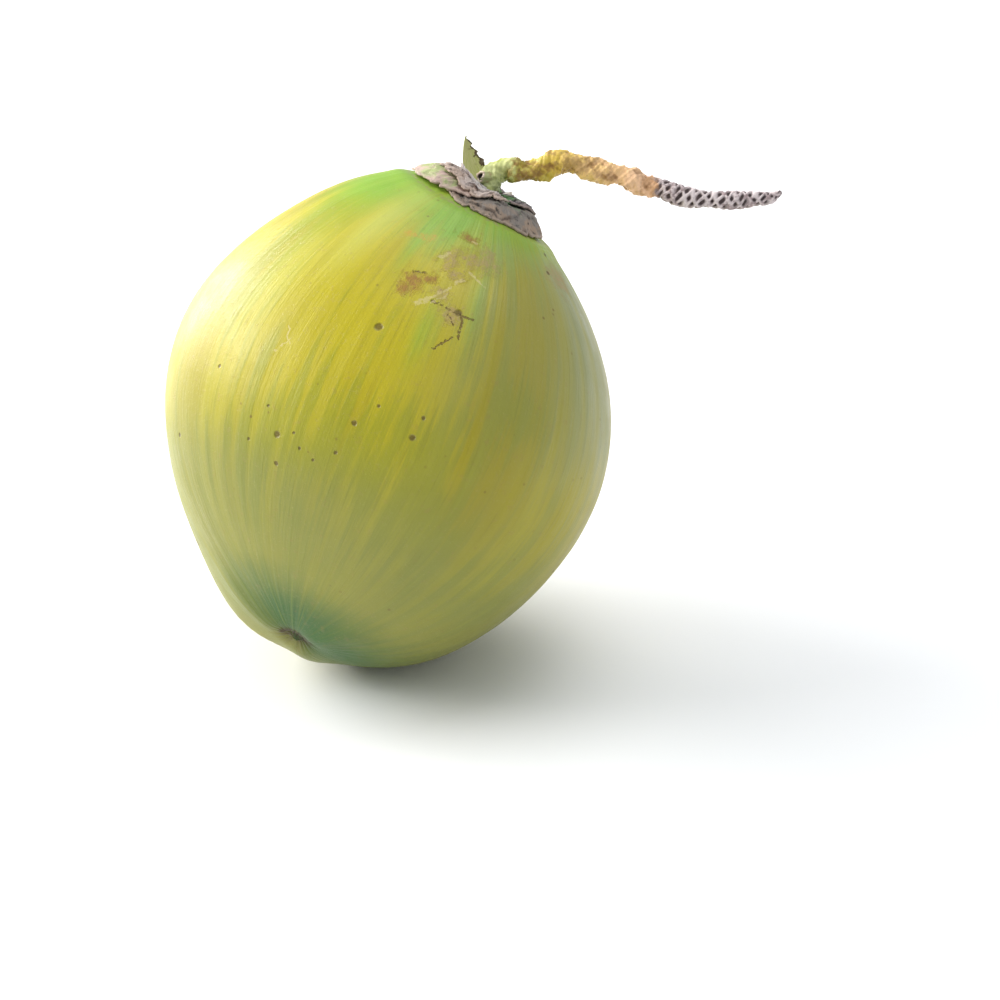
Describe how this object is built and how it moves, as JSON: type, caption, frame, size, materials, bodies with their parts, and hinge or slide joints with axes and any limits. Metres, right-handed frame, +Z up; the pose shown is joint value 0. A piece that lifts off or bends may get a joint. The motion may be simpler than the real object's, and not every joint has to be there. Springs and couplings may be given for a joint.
{
  "type": "green coconut",
  "caption": "Whole green coconut resting upright on its lower end, with a cap of overlapping tepals and a long knobbly fruit stalk.",
  "frame": {"origin": "middle of the flat spot that the fruit rests on, on the surface below it", "axes": "+Z up; +X towards the side where the stalk reaches out; +Y towards the back, so -Y is the front with the blossom scar low down at its left"},
  "size_m": [0.256, 0.19, 0.2167],
  "materials": {
    "green_husk": "smooth waxy skin, green to olive yellow with fine lengthwise streaks, brown scuffs and small dark specks",
    "tepal_green": "leathery grey green to purple brown with ragged dry margins",
    "tepal_brown": "dry fibrous pinkish tan",
    "stalk_skin": "knobbly stalk, light green to orange tan, ending dry grey brown and scaly",
    "bract_green": "yellow green leathery scale with a dark toothed edge"
  },
  "bodies": {
    "root": {"husk": "green_husk", "tepal_inner_1": "tepal_green", "tepal_inner_2": "tepal_green", "tepal_inner_3": "tepal_green", "tepal_outer_1": "tepal_brown", "tepal_outer_2": "tepal_brown", "tepal_outer_3": "tepal_brown", "stalk": "stalk_skin", "bract": "bract_green"}
  },
  "joints": []
}
